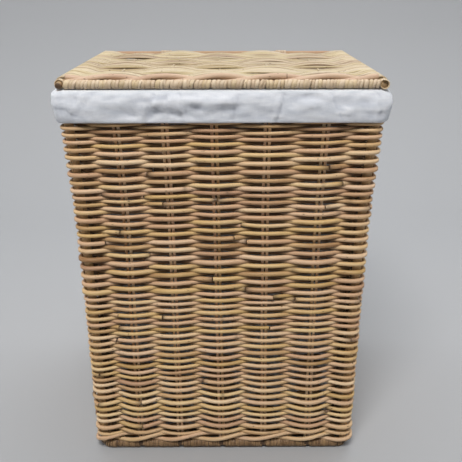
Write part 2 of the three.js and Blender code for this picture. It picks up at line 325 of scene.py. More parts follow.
def rattan(name, light, mid, deep, pink, yellow=(0.70, 0.51, 0.22), rough=0.5, streak=1.0, specks=1.0, bump=1.0):
    """Round or split cane: a tone for each cane, long fibres, pores, blotches, rare dark specks, stained cuts and the
    painted shade that the tint's third channel carries.
    """
    m, nt, bsdf = nodes_of(name)
    g = nt.nodes.new("ShaderNodeAttribute")
    g.attribute_name = "grain"
    t = nt.nodes.new("ShaderNodeAttribute")
    t.attribute_name = "tint"
    sep = nt.nodes.new("ShaderNodeSeparateXYZ")
    nt.links.new(t.outputs["Vector"], sep.inputs[0])
    v = g.outputs["Vector"]
    blotch = noise(nt, scaled(nt, v, (0.014, 0.12, 0.12)), 3.0, 0.6)
    fibres = noise(nt, scaled(nt, v, (0.045, 1.9, 1.9)), 3.0, 0.6, 0.2)
    pores = noise(nt, scaled(nt, v, (0.35, 4.5, 4.5)), 2.0, 0.55)
    tone = math_node(nt, "ADD", sep.outputs[0], math_node(nt, "MULTIPLY", math_node(nt, "SUBTRACT", blotch, 0.5), 1.1))
    tone = math_node(nt, "ADD", tone, math_node(nt, "MULTIPLY", math_node(nt, "SUBTRACT", fibres, 0.5), 0.55 * streak), True)
    base = ramp(nt, tone, [(0.0, deep), (0.42, mid), (0.95, light)])
    turning = noise(nt, scaled(nt, v, (0.008, 0.05, 0.05)), 2.0, 0.5)
    hue = math_node(nt, "ADD", sep.outputs[1], math_node(nt, "MULTIPLY", math_node(nt, "SUBTRACT", turning, 0.5), 1.3), True)
    pinkness = maprange(nt, hue, 0.45, 0.95, 0.0, 0.75)
    base = mix(nt, pinkness, base, mix(nt, 0.62, base, pink))
    yellowness = maprange(nt, hue, 0.42, 0.05, 0.0, 0.8)
    base = mix(nt, yellowness, base, mix(nt, 0.55, base, yellow))
    dark_fibre = maprange(nt, pores, 0.56, 0.78, 0.0, 0.42 * streak)
    base = mix(nt, dark_fibre, base, mix(nt, 1.0, base, (0.55, 0.42, 0.30), "MULTIPLY"))
    # rare specks and a few longer brown stains
    spot = noise(nt, scaled(nt, v, (0.16, 0.42, 0.42)), 1.0, 0.4)
    spot = maprange(nt, spot, 0.705, 0.78, 0.0, 0.85 * specks)
    base = mix(nt, spot, base, (0.10, 0.045, 0.02))
    stain = noise(nt, scaled(nt, v, (0.02, 0.16, 0.16)), 2.0, 0.5)
    stain = maprange(nt, stain, 0.60, 0.80, 0.0, 0.34)
    base = mix(nt, stain, base, mix(nt, 1.0, base, (0.62, 0.44, 0.30), "MULTIPLY"))
    # the tint's third channel darkens towards dark brown: stained cuts and ends, and painted shade in hollows and gaps
    base = mix(nt, sep.outputs[2], base, (0.075, 0.042, 0.022))
    nt.links.new(base, bsdf.inputs["Base Color"])
    r = maprange(nt, fibres, 0.3, 0.75, rough - 0.09, rough + 0.14)
    nt.links.new(r, bsdf.inputs["Roughness"])
    bsdf.inputs["Specular IOR Level"].default_value = 0.42
    h = math_node(nt, "ADD", math_node(nt, "MULTIPLY", fibres, 1.0), math_node(nt, "MULTIPLY", pores, 0.45))
    b = nt.nodes.new("ShaderNodeBump")
    b.inputs["Strength"].default_value = 0.35 * bump
    b.inputs["Distance"].default_value = 0.0006
    nt.links.new(h, b.inputs["Height"])
    nt.links.new(b.outputs["Normal"], bsdf.inputs["Normal"])
    return m


CANE = rattan("rattan_weave", (0.73, 0.545, 0.345), (0.54, 0.345, 0.17), (0.285, 0.15, 0.062), (0.55, 0.335, 0.22), yellow=(0.61, 0.415, 0.135))
# the stakes' cane is pale, and its colours are raised further as painted light, so the stakes stay bright where they
# stand in shade between the rows
STAKE = rattan("rattan_stake", (0.93, 0.74, 0.51), (0.86, 0.61, 0.37), (0.58, 0.36, 0.20), (0.84, 0.54, 0.37), specks=0.6)
POLE = rattan("rattan_pole", (0.66, 0.47, 0.26), (0.50, 0.33, 0.165), (0.30, 0.18, 0.085), (0.52, 0.30, 0.18), rough=0.55)
PEEL = rattan("rattan_peel", (0.63, 0.51, 0.365), (0.49, 0.37, 0.245), (0.27, 0.18, 0.10), (0.47, 0.33, 0.23), yellow=(0.52, 0.39, 0.19), rough=0.44)
# a darker copy of the peel for the foot's wrapping: painted shade low down by the floor
PEEL_FOOT = rattan("rattan_peel_foot", (0.36, 0.225, 0.115), (0.215, 0.128, 0.062), (0.10, 0.055, 0.026), (0.22, 0.12, 0.07), yellow=(0.30, 0.19, 0.08), rough=0.48)
LIDCANE = rattan("rattan_lid", (0.56, 0.475, 0.335), (0.44, 0.35, 0.225), (0.24, 0.16, 0.09), (0.48, 0.345, 0.245), yellow=(0.50, 0.40, 0.19), streak=1.6, specks=1.4)
PINK = rattan("rattan_twist", (0.56, 0.42, 0.29), (0.45, 0.31, 0.205), (0.26, 0.16, 0.09), (0.47, 0.30, 0.21))


def cotton(name):
    """Washed plain-weave cotton: warp and weft, slubs, faint grey variation, and painted shade in the creases from the
    cloth attribute's third channel.
    """
    m, nt, bsdf = nodes_of(name)
    c = nt.nodes.new("ShaderNodeAttribute")
    c.attribute_name = "cloth"
    v = c.outputs["Vector"]
    sep = nt.nodes.new("ShaderNodeSeparateXYZ")
    nt.links.new(v, sep.inputs[0])
    warp = math_node(nt, "SINE", math_node(nt, "MULTIPLY", sep.outputs[0], TAU / 0.9))
    weft = math_node(nt, "SINE", math_node(nt, "MULTIPLY", sep.outputs[1], TAU / 0.9))
    threads = math_node(nt, "MULTIPLY", warp, weft)
    slub_a = noise(nt, scaled(nt, v, (0.05, 1.5, 1.0)), 3.0, 0.6)
    slub_b = noise(nt, scaled(nt, v, (1.5, 0.05, 1.0)), 3.0, 0.6)
    soft = noise(nt, scaled(nt, v, (0.03, 0.09, 1.0)), 4.0, 0.62)
    fuzz = noise(nt, scaled(nt, v, (2.2, 2.2, 1.0)), 2.0, 0.6)
    slubs = math_node(nt, "ADD", slub_a, slub_b)
    col = ramp(nt, soft, [(0.34, (0.66, 0.69, 0.745)), (0.52, (0.765, 0.785, 0.83)), (0.68, (0.85, 0.865, 0.895))])
    col = mix(nt, maprange(nt, slubs, 0.9, 1.3, 0.0, 0.35), col, (0.60, 0.63, 0.69))
    col = mix(nt, maprange(nt, threads, 0.1, 1.0, 0.0, 0.22), col, (0.62, 0.65, 0.71))
    # painted shade in the creases, from the cloth attribute's third channel
    col = mix(nt, sep.outputs[2], col, (0.50, 0.53, 0.60))
    nt.links.new(col, bsdf.inputs["Base Color"])
    bsdf.inputs["Roughness"].default_value = 0.9
    bsdf.inputs["Specular IOR Level"].default_value = 0.2
    bsdf.inputs["Sheen Weight"].default_value = 0.25
    bsdf.inputs["Sheen Roughness"].default_value = 0.5
    h = math_node(nt, "ADD", math_node(nt, "MULTIPLY", threads, 0.30), math_node(nt, "ADD", math_node(nt, "MULTIPLY", slubs, 0.8), math_node(nt, "MULTIPLY", fuzz, 0.35)))
    b = nt.nodes.new("ShaderNodeBump")
    b.inputs["Strength"].default_value = 0.6
    b.inputs["Distance"].default_value = 0.0008
    nt.links.new(h, b.inputs["Height"])
    nt.links.new(b.outputs["Normal"], bsdf.inputs["Normal"])
    return m


COTTON = cotton("cotton_liner")

# ---------------------------------------------------------------- camera, floor and light
scene = bpy.context.scene
cam_data = bpy.data.cameras.new("camera")
cam_data.sensor_width = 36.0
cam_data.lens = 617.9 / 462 * 36
cam = bpy.data.objects.new("camera", cam_data)
scene.collection.objects.link(cam)
cam.location = (0.0092, -1.0267, 0.7453)
yaw, pitch, roll = math.radians(0.205), math.radians(22.02), math.radians(0.087)
forward = Vector((math.sin(yaw) * math.cos(pitch), math.cos(yaw) * math.cos(pitch), -math.sin(pitch)))
cam.rotation_mode = "QUATERNION"
cam.rotation_quaternion = (Matrix.Rotation(-roll, 3, -forward) @ forward.to_track_quat("-Z", "Y").to_matrix()).to_quaternion()
scene.camera = cam


def plain(name, color, rough):
    m, nt, bsdf = nodes_of(name)
    bsdf.inputs["Base Color"].default_value = (*color, 1)
    bsdf.inputs["Roughness"].default_value = rough
    return m


# A pale sweep: floor, wide bends and walls, the near wall behind and the others far off.
sides = [(2300.0, -300.0, 0), (-2300.0, -300.0, 90), (-2300.0, -2500.0, 180), (2300.0, -2500.0, 270)]
steps = [(0.0, 0.0)] + [(700 * math.sin(math.pi / 2 * i / 12), 700 - 700 * math.cos(math.pi / 2 * i / 12)) for i in range(1, 13)] + [(700.0, 3500.0)]
sv = []
for out, up in steps:
    for cx, cy, a0 in sides:
        for i in range(13):
            t = math.radians(a0 + 90 * i / 12)
            sv.append((cx + (1200 + out) * math.cos(t), cy + (1200 + out) * math.sin(t), up - 0.05))
sv.append((0.0, -300.0, -0.05))
ns = 4 * 13
sq = [(k * ns + i, k * ns + (i + 1) % ns, (k + 1) * ns + (i + 1) % ns, (k + 1) * ns + i) for k in range(len(steps) - 1) for i in range(ns)]
floor = make_mesh("floor", np.array(sv), sq, [(len(sv) - 1, (i + 1) % ns, i) for i in range(ns)])
floor.data.materials.append(plain("floor_pale", (0.36, 0.365, 0.375), 0.8))

world = bpy.data.worlds.new("world")
scene.world = world
world.use_nodes = True
world.node_tree.nodes["Background"].inputs["Color"].default_value = (0.80, 0.88, 1.0, 1)
world.node_tree.nodes["Background"].inputs["Strength"].default_value = 0.05


def lamp(name, where, at, size, power, color=(1, 1, 1)):
    d = bpy.data.lights.new(name, "AREA")
    d.shape = "RECTANGLE"
    d.size, d.size_y = size
    d.energy = power
    d.color = color
    o = bpy.data.objects.new(name, d)
    scene.collection.objects.link(o)
    o.location = where
    o.rotation_mode = "QUATERNION"
    o.rotation_quaternion = (Vector(at) - Vector(where)).to_track_quat("-Z", "Y")
    o.visible_camera = False
    return o


lamp("key", (-0.3, -1.5, 2.6), (0, -0.1, 0.35), (1.0, 0.7), 66, (1.0, 0.985, 0.965))
lamp("top", (0.3, 0.2, 2.5), (0, 0, 0.3), (1.4, 1.2), 3, (1.0, 0.99, 0.97))
lamp("wall", (0.0, 0.7, 2.4), (0, 1.6, 0.55), (3.0, 0.8), 30, (0.96, 0.98, 1.0))
lamp("rear", (0.5, 1.35, 2.3), (0, 0.2, 0.3), (1.6, 0.5), 11, (0.97, 0.985, 1.0))
lamp("side_left", (-3.35, 0.75, 1.05), (0, 0.05, 0.35), (1.8, 1.2), 21, (0.98, 0.99, 1.0))
lamp("side_right", (3.35, 0.75, 1.05), (0, 0.05, 0.35), (1.8, 1.2), 21, (0.98, 0.99, 1.0))
lamp("wall_left", (-2.2, -0.6, 2.6), (-3.6, -0.6, 0.4), (3.0, 1.0), 20, (0.96, 0.98, 1.0))
lamp("wall_right", (2.2, -0.6, 2.6), (3.6, -0.6, 0.4), (3.0, 1.0), 20, (0.96, 0.98, 1.0))
lamp("wall_front", (0.0, -2.8, 2.6), (0.0, -4.2, 0.4), (4.0, 1.0), 26, (0.96, 0.98, 1.0))
scene.view_settings.view_transform = "Standard"
scene.view_settings.look = "None"

# ---------------------------------------------------------------- stations: corner posts and stake pairs
PX, PY = W - POST_IN, D - POST_IN
SX, SY = W - STAKE_IN, D - STAKE_IN
FRONT_X = [-142.0, -75.0, -4.0, 67.0, 142.0]
FRONT_LEAN = [0.0, -1.6, -6.5, -6.0, -2.6]  # how far each pair leans over the wall's height
BACK_X = [-142.0, -71.0, 0.0, 71.0, 142.0]
SIDE_Y = [-107.0, -36.0, 36.0, 107.0]
stations = [dict(kind="post", x=-PX, y=-PY, a=180, lean=0.0, node="corner_post_front_left")]
for i, (x, l) in enumerate(zip(FRONT_X, FRONT_LEAN)):
    stations.append(dict(kind="pair", x=x, y=-SY, n=(0, -1), t=(1, 0), lean=l, node=f"stake_pair_front_{i + 1}", side="front"))
stations.append(dict(kind="post", x=PX, y=-PY, a=270, lean=0.0, node="corner_post_front_right"))
for i, y in enumerate(SIDE_Y):
    stations.append(dict(kind="pair", x=SX, y=y, n=(1, 0), t=(0, 1), lean=float(rng.normal(0, 1.5)), node=f"stake_pair_right_{i + 1}", side="right"))
stations.append(dict(kind="post", x=PX, y=PY, a=0, lean=0.0, node="corner_post_back_right"))
for i in range(4, -1, -1):
    stations.append(dict(kind="pair", x=BACK_X[i], y=SY, n=(0, 1), t=(-1, 0), lean=float(rng.normal(0, 1.5)), node=f"stake_pair_back_{i + 1}", side="back"))
stations.append(dict(kind="post", x=-PX, y=PY, a=90, lean=0.0, node="corner_post_back_left"))
for i in range(3, -1, -1):
    stations.append(dict(kind="pair", x=-SX, y=SIDE_Y[i], n=(-1, 0), t=(0, -1), lean=float(rng.normal(0, 1.5)), node=f"stake_pair_left_{i + 1}", side="left"))
NS = len(stations)  # 22, so rows of plain weave close on themselves


def station_xy(s, z):
    """A station's place on the upright basket at height z."""
    if s["kind"] == "post":
        return np.array([s["x"], s["y"]])
    shift = s["lean"] * np.clip(z / 560.0, 0, 1.1)
    if s["n"][0] == 0:
        return np.array([s["x"] + shift, s["y"]])
    return np.array([s["x"], s["y"] + shift])


def weave_controls(z, radius, sign_of, rise=None, jitter=0.35):
    """Control points of one cane's run round the basket. sign_of(k) is +1 where it passes outside station k.
    rise is not used."""
    pts, ks = [], []
    place = [station_xy(s, z) for s in stations]
    for k, s in enumerate(stations):
        sg = sign_of(k)
        here = place[k]
        if s["kind"] == "post":
            rc = POST_R + radius + 0.1
            if sg > 0:
                for j, da in enumerate((4, 45, 86)):
                    a = math.radians(s["a"] + da)
                    pts.append([here[0] + rc * math.cos(a), here[1] + rc * math.sin(a)])
                    ks.append(k + (j - 1) * 0.12)
            else:
                a = math.radians(s["a"] + 45)
                rr = -(POST_R + radius + 0.1)
                pts.append([here[0] + rr * math.cos(a), here[1] + rr * math.sin(a)])
                ks.append(float(k))
        else:
            n, t = np.array(s["n"], float), np.array(s["t"], float)
            amp = (STAKE_R + radius + (1.15 if sg > 0 else 0.15)) * sg + rng.normal(0, jitter)
            for dt, f in ((-8.5, 0.93), (8.5, 0.93)):
                q = here + n * amp * f + t * dt
                pts.append(list(q))
                ks.append(k + dt / 71.0)
        # half way to the next station, on the stakes' own line
        s2 = stations[(k + 1) % NS]
        a, b = here.copy(), place[(k + 1) % NS].copy()
        wall = s if s["kind"] == "pair" else s2
        if wall["n"][0] == 0:
            a[1] = b[1] = wall["y"]
        else:
            a[0] = b[0] = wall["x"]
        mid = (a + b) / 2 + np.array(wall["n"], float) * rng.normal(0, jitter * 0.8)
        pts.append(list(mid))
        ks.append(k + 0.5)
    return np.array(pts), np.array(ks)


# ---------------------------------------------------------------- rows of the woven wall
# Heights of the rows half way between the stakes, every fourth row from the foot up.
ROW_AT = np.arange(0, 96, 4)
ROW_Z = np.array([30.1, 57.1, 80.5, 106.1, 131.2, 153.2, 175.9, 200.9, 224.5, 247.5, 270.5, 292.4, 317.7, 345.5, 373.1, 398.3, 423.2, 446.8, 468.3, 493.2, 519.0, 541.6, 560.7, 582.9])
NR = 94
row_z = np.interp(np.arange(NR), ROW_AT, ROW_Z)
row_z = np.convolve(np.concatenate([[row_z[0] * 2 - row_z[1]], row_z, [row_z[-1] * 2 - row_z[-2]]]), [0.2, 0.6, 0.2], "valid")
pitch_z = np.gradient(row_z)
LIFT_Z = np.array([30, 45, 72, 122, 166, 217, 263, 309, 366, 414, 461, 511, 556, 575, 600.0])
LIFT = np.array([0, -0.2, -1.0, 0.8, 5.2, 5.2, 5.4, 5.2, 4.2, 4.4, 3.6, 4.2, 4.2, 2.6, 0.2])
# Outside passes hang below their ends, the ones at the posts' neighbours the most near the foot.
SAG_Z = np.array([30, 60, 100, 150, 190, 230, 280, 400, 540, 600.0])
SAG_ODD = np.array([3.0, 4.6, 5.0, 3.4, 2.0, 0.6, 1.6, 1.9, 1.2, 0.2])
SAG_EVEN = np.array([-0.4, -0.2, 0.2, 0.5, 0.7, 0.9, 0.7, 0.5, 0.4, 0.1])

INNER_Z = np.array([30, 120, 180, 240, 300, 420, 500, 560, 600.0])
INNER = np.array([-1.5, -2.0, 0.3, 2.9, 3.8, 3.6, 3.0, 2.3, 0.3])

# Slow waves in the rows' heights, shared by neighbouring rows so that they stay packed.
waves = [(m, rng.uniform(0, TAU), rng.normal(0, 0.10), a) for m, a in ((2, 0.5), (3, 0.5), (5, 0.4), (7, 0.3))]


def row_wave(k, r):
    z0 = row_z[r]
    out = 0
    for m, ph, drift, a in waves:
        out = out + a * np.sin(TAU * m * k / NS + ph + drift * r)
    fade = np.clip((z0 - 30) / 60, 0.1, 1) * np.clip((598 - z0) / 40, 0.1, 1)
    out = out * fade + np.interp(z0, LIFT_Z, LIFT) * np.sin(TAU * (k - 3) / NS)
    sag = np.interp(z0, SAG_Z, SAG_ODD if r % 2 else SAG_EVEN)
    inner = np.interp(z0, INNER_Z, INNER)
    # deepest at the stations it passes outside; the inside passes lie lower too, where they were beaten down
    return out - sag * (0.5 + 0.5 * np.cos(math.pi * (k - r))) ** 1.5 - inner * (0.5 - 0.5 * np.cos(math.pi * (k - r))) ** 1.3


def cane_look(bias=0.0):
    """A tone and a hue for one cane: most are tan, some yellow, some pink or brown."""
    tone = float(np.clip(rng.normal(0.50 + bias, 0.22), 0.04, 0.98))
    hue = float(rng.choice([0.1, 0.5, 0.92], p=[0.38, 0.32, 0.30]) + rng.normal(0, 0.08))
    return tone, hue


N_ROW = 336
groups = 5
weave_parts = [Canes() for _ in range(groups)]
for r in range(NR):
    z0 = row_z[r]
    radius = np.clip(pitch_z[r] * 0.515 * rng.normal(1.0, 0.05), 2.6, 3.7)
    sign = lambda k: 1 if (k + r) % 2 == 0 else -1
    P, K = weave_controls(z0, radius, sign)
    xy, kk = closed_spline(P, N_ROW, K)
    z = z0 + row_wave(kk, r) + smooth_noise(N_ROW, 9, 0.3, True)
    pts = flare(np.column_stack([xy, z]))
    rad = radius * (1 + smooth_noise(N_ROW, 26, 0.04, True))
    # painted shade on the inside passes, in the hollows behind the stakes
    inside_shade = np.clip(((0.5 - 0.5 * np.cos(math.pi * (kk - r))) - 0.42) / 0.4, 0, 1)
    inside_shade = 0.78 * inside_shade * inside_shade * (3 - 2 * inside_shade)
    # The row is made of separate canes, butted end to end.
    breaks = sorted(rng.choice(N_ROW, size=int(rng.choice([1, 2, 3, 4], p=[0.25, 0.35, 0.27, 0.13])), replace=False))
    part = weave_parts[min(r * groups // NR, groups - 1)]
    for i, b in enumerate(breaks):
        e = breaks[(i + 1) % len(breaks)]
        if e <= b:
            e += N_ROW
        idx = np.arange(b, e + 1) % N_ROW
        q, rr = pts[idx].copy(), rad[idx] * rng.normal(1.0, 0.035)
        # a small gap, and ends that spring apart a little
        way0, way1 = unit(q[1] - q[0]), unit(q[-1] - q[-2])
        q[0] += way0 * 0.9
        q[-1] -= way1 * 0.9
        ease = np.exp(-np.arange(len(q)) / 2.5)[:, None]
        nrm = unit(q * np.array([1 / W, 1 / D, 0]))
        q += ease * (np.array([0, 0, rng.normal(0, 0.5)]) + nrm * abs(rng.normal(0, 1.1)))
        q += ease[::-1] * (np.array([0, 0, rng.normal(0, 0.5)]) + nrm[-1:] * abs(rng.normal(0, 1.1)))
        tone, hue = cane_look()
        drift = smooth_noise(len(q), 40, 0.08)
        stain = np.zeros(len(q))  # split and weathered towards the cut ends, and at a knot here and there
        for at in (0, len(q) - 1):
            if rng.random() < 0.7:
                stain += rng.uniform(0.35, 0.85) * np.exp(-((np.arange(len(q)) - at) / rng.uniform(0.8, 2.0)) ** 2)
        for at in rng.integers(0, len(q), rng.poisson(len(q) / 260)):
            stain += rng.uniform(0.25, 0.6) * np.exp(-((np.arange(len(q)) - at) / rng.uniform(0.5, 1.2)) ** 2)
        part.add(q, rr, (0, 0, 1), sides=8, tone=np.clip(tone + drift, 0, 1), hue=hue, dark=np.clip(inside_shade[idx] + stain, 0, 0.9), cut=0.9, phase=0.5)
names = ["weave_rows_foot", "weave_rows_low", "weave_rows_mid", "weave_rows_high", "weave_rows_top"]
for name, part in zip(names, weave_parts):
    part.build(name, CANE, "basket", "weave_cane", "weave_front", "weave_back", "weave_left", "weave_right")

# ---------------------------------------------------------------- stakes and posts
for side in ("front", "right", "back", "left"):
    part, nodes = Canes(), []
    for s in stations:
        if s["kind"] != "pair" or s["side"] != side:
            continue
        nodes.append(s["node"])
        zs = np.linspace(13, 596.5, 70)
        base = np.array([station_xy(s, z) for z in zs])
        t = np.array(s["t"], float)
        gap = smooth_noise(70, 14, 0.22)
        for w in (-1, 1):
            off = (STAKE_R + 1.15 + gap) * w + smooth_noise(70, 10, 0.25)
            q = np.column_stack([base + off[:, None] * t, zs])
            # the stakes' tones are raised as well: painted light
            tone, hue = cane_look(0.25)
            part.add(flare(q), (STAKE_R + 0.15) * rng.normal(1, 0.03) * (1 + smooth_noise(70, 12, 0.02)), (s["n"][0], s["n"][1], 0),
                     tone=tone, hue=hue)
    part.build(f"stakes_{side}", STAKE, "basket", "stake_cane", *nodes)
for s in stations:
    if s["kind"] == "post":
        part = Canes()
        zs = np.linspace(12, 597, 90)
        q = np.column_stack([np.tile(station_xy(s, 0), (90, 1)), zs])
        rad = (POST_R - 0.25) * (1 + smooth_noise(90, 8, 0.012))
        for knot in rng.uniform(60, 560, 2):  # the swollen ring where a leaf sheath grew
            rad += 0.3 * np.exp(-(((zs - knot) / 5) ** 2))
        part.add(flare(q), rad, (1, 0, 0), sides=14, tone=0.5, hue=0.4)
        part.build(s["node"] + "_pole", POLE, "basket", "pole_cane", s["node"])

# ---------------------------------------------------------------- two-strand wale round the foot
wale = Canes()
WALE_Z, WALE_R, WALE_RISE = 21.6, 3.5, 5.0
for j in (0, 1):
    sign = lambda k: 1 if (k + j) % 2 == 0 else -1
    P, K = weave_controls(WALE_Z, WALE_R, sign, jitter=0.25)
    xy, kk = closed_spline(P, 420, K)
    xy = xy * (1 + 1.6 / np.array([W, D]))
    # rises as it passes outside, falls as it passes inside
    z = WALE_Z + WALE_RISE * np.sin(math.pi * (kk - j)) + smooth_noise(420, 12, 0.3, True)
    cuts = [int(rng.integers(0, 200)), int(rng.integers(220, 400))]
    for a, b in ((cuts[0], cuts[1]), (cuts[1], cuts[0] + 420)):
        idx = np.arange(a, b + 1) % 420
        tone, hue = cane_look(0.12)
        wale.add(flare(np.column_stack([xy, z]))[idx], WALE_R, (0, 0, 1), tone=tone, hue=hue, phase=0.5)
wale.build("base_wale_canes", CANE, "basket", "weave_cane", "base_wale_front", "base_wale_back", "base_wale_left", "base_wale_right")


# ---------------------------------------------------------------- wrapped poles
def rect_path(a, b, r, n, start_angle=0.0):
    """n points evenly round a rounded rectangle, anticlockwise, with outward normals."""
    segs = []
    cx, cy = a - r, b - r
    for (sx, sy, a0) in ((1, 1, 0), (-1, 1, 90), (-1, -1, 180), (1, -1, 270)):
        for i in range(25):
            t = math.radians(a0 + 90 * i / 24)
            segs.append((sx * cx + r * math.cos(t), sy * cy + r * math.sin(t), math.cos(t), math.sin(t)))
    P = np.array(segs + segs[:1])
    s = np.concatenate([[0], np.cumsum(np.linalg.norm(np.diff(P[:, :2], axis=0), axis=1))])
    want = np.arange(n) / n * s[-1]
    return np.stack([np.interp(want, s, P[:, j]) for j in range(4)], 1), s[-1]


def along_path(P, L, s):
    """Points and normals of a closed path (from rect_path) at lengths s."""
    n = len(P)
    x = (s / L * n) % n
    i = np.floor(x).astype(int)
    f = (x - i)[:, None]
    Q = P[i % n] * (1 - f) + P[(i + 1) % n] * f
    return Q[:, :2], unit(Q[:, 2:])


BASE_A, BASE_B, BASE_R, BASE_Z = 208.0, 174.0, 15.0, 8.0
basepath, baseL = rect_path(BASE_A, BASE_B, BASE_R, 720)
foot = Canes()
pole_pts = np.column_stack([basepath[::2, :2], np.full(360, BASE_Z)])
# the pole is darkened nearly to the cut colour: painted shade where it shows between the turns of peel
foot.add(pole_pts, 6.3, (0, 0, 1), closed=True, sides=10, tone=0.1, hue=0.3, dark=0.85)
# The peel winding is broken where each stake passes the pole.
breaks_s = []
for s in stations:
    d = np.linalg.norm(basepath[:, :2] - np.array([s["x"], s["y"]]), axis=1)
    breaks_s.append(d.argmin() / len(basepath) * baseL)
breaks_s = sorted(breaks_s)
for a, b in zip(breaks_s, breaks_s[1:] + [breaks_s[0] + baseL]):
    a, b = a + 2.1, b - 2.1
    turns = max(int(round((b - a) / 3.15)), 2)
    n = turns * 14
    phi = np.linspace(0, TAU * turns, n)
    wob = smooth_noise(n, 14, 0.22)
    s = np.clip(np.linspace(a + 1.4, b - 1.4, n) + wob, a, b)
    c, nrm = along_path(basepath, baseL, s)
    rr = 7.15 + smooth_noise(n, 14, 0.14)
    radial = np.column_stack([nrm * np.cos(phi)[:, None], np.sin(phi)])
    q = np.column_stack([c, np.full(n, BASE_Z)]) + radial * rr[:, None]
    tone = 0.5 + np.repeat(rng.normal(0, 0.16, turns), 14)
    foot.add(q, 0.62, radial, flat=(2.35, 1.0), square=0.6, sides=6, tone=tone, hue=0.4, cut=0.5, phase=0.5)
foot.build("base_frame_wrapped", PEEL_FOOT, "basket", "peel_wrap", "base_frame")

# ---------------------------------------------------------------- woven floor
floor_part = Canes()
fw, fd, fz = 197.5, 162.5, 9.5
floor_ribs = [-140, -70, 0, 70, 140]
ribs = Canes()
for x in floor_ribs:
    y = np.linspace(-fd, fd, 24)
    ribs.add(np.column_stack([np.full(24, x), y, np.full(24, fz)]), 3.6, (0, 0, 1), tone=0.45, hue=0.4)
ribs.build("base_ribs_cane", POLE, "basket", "pole_cane", *[f"base_rib_{i + 1}" for i in range(5)])
ny = 58
for j in range(ny):
    y = -fd + 3.2 + (2 * fd - 6.4) * j / (ny - 1)
    inset = 0.0
    for cy in (fd - 16,):
        if abs(y) > cy:
            inset = 16 - math.sqrt(max(16**2 - (abs(y) - cy) ** 2, 0))
    x = np.linspace(-fw + inset, fw - inset, 80)
    sg = 1 if j % 2 == 0 else -1
    z = fz + sg * 3.3 * np.cos(math.pi * x / 70)
    tone, hue = cane_look(-0.05)
    floor_part.add(np.column_stack([x, y + smooth_noise(80, 20, 0.2), z]), 2.55, (0, 0, 1), sides=6, tone=tone, hue=hue)
floor_part.build("base_weave_canes", CANE, "basket", "weave_cane", "base_weave")

# ---------------------------------------------------------------- rim under the cuff
rim = Canes()
rimpath, rimL = rect_path(219.0, 184.0, 26.0, 300)
rim.add(np.column_stack([rimpath[:, :2], np.full(300, RIM_Z)]), 5.9, (0, 0, 1), closed=True, sides=12, tone=0.45, hue=0.4)
rim.build("rim_pole", POLE, "basket", "pole_cane", "rim_frame")

# ---------------------------------------------------------------- hinge loops of peel
for side, x0 in (("left", -LOOP_X), ("right", LOOP_X)):
    part = Canes()
    for i in range(4):
        x = x0 + (i - 1.5) * 5.2
        pts, out = [], []
        for k in range(13):
            a = math.pi * k / 12
            pts.append([x, AXIS_Y + 6.7 * math.cos(a), AXIS_Z + 6.7 * math.sin(a)])
            out.append([0, math.cos(a), math.sin(a)])
        pts.append([x, AXIS_Y - 6.7, (AXIS_Z + RIM_Z) / 2])
        out.append([0, -1, 0])
        for k in range(13):
            a = math.pi + math.pi * k / 12
            pts.append([x, AXIS_Y + 6.7 * math.cos(a), RIM_Z + 6.7 * math.sin(a)])
            out.append([0, math.cos(a), math.sin(a)])
        pts.append([x, AXIS_Y + 6.7, (AXIS_Z + RIM_Z) / 2])
        out.append([0, 1, 0])
        pts = np.array(pts)
        pts[:, 0] += 0.35 * np.sin(np.arange(len(pts)) / len(pts) * TAU + i)
        part.add(pts, 0.5, np.array(out, float), closed=True, flat=(4.6, 1.0), square=0.6, sides=8,
                 tone=0.24 + 0.1 * (i % 2), hue=0.6, phase=0.5)
    part.build(f"hinge_loop_{side}_peel", PEEL, "basket", "peel_wrap", f"hinge_loop_{side}")

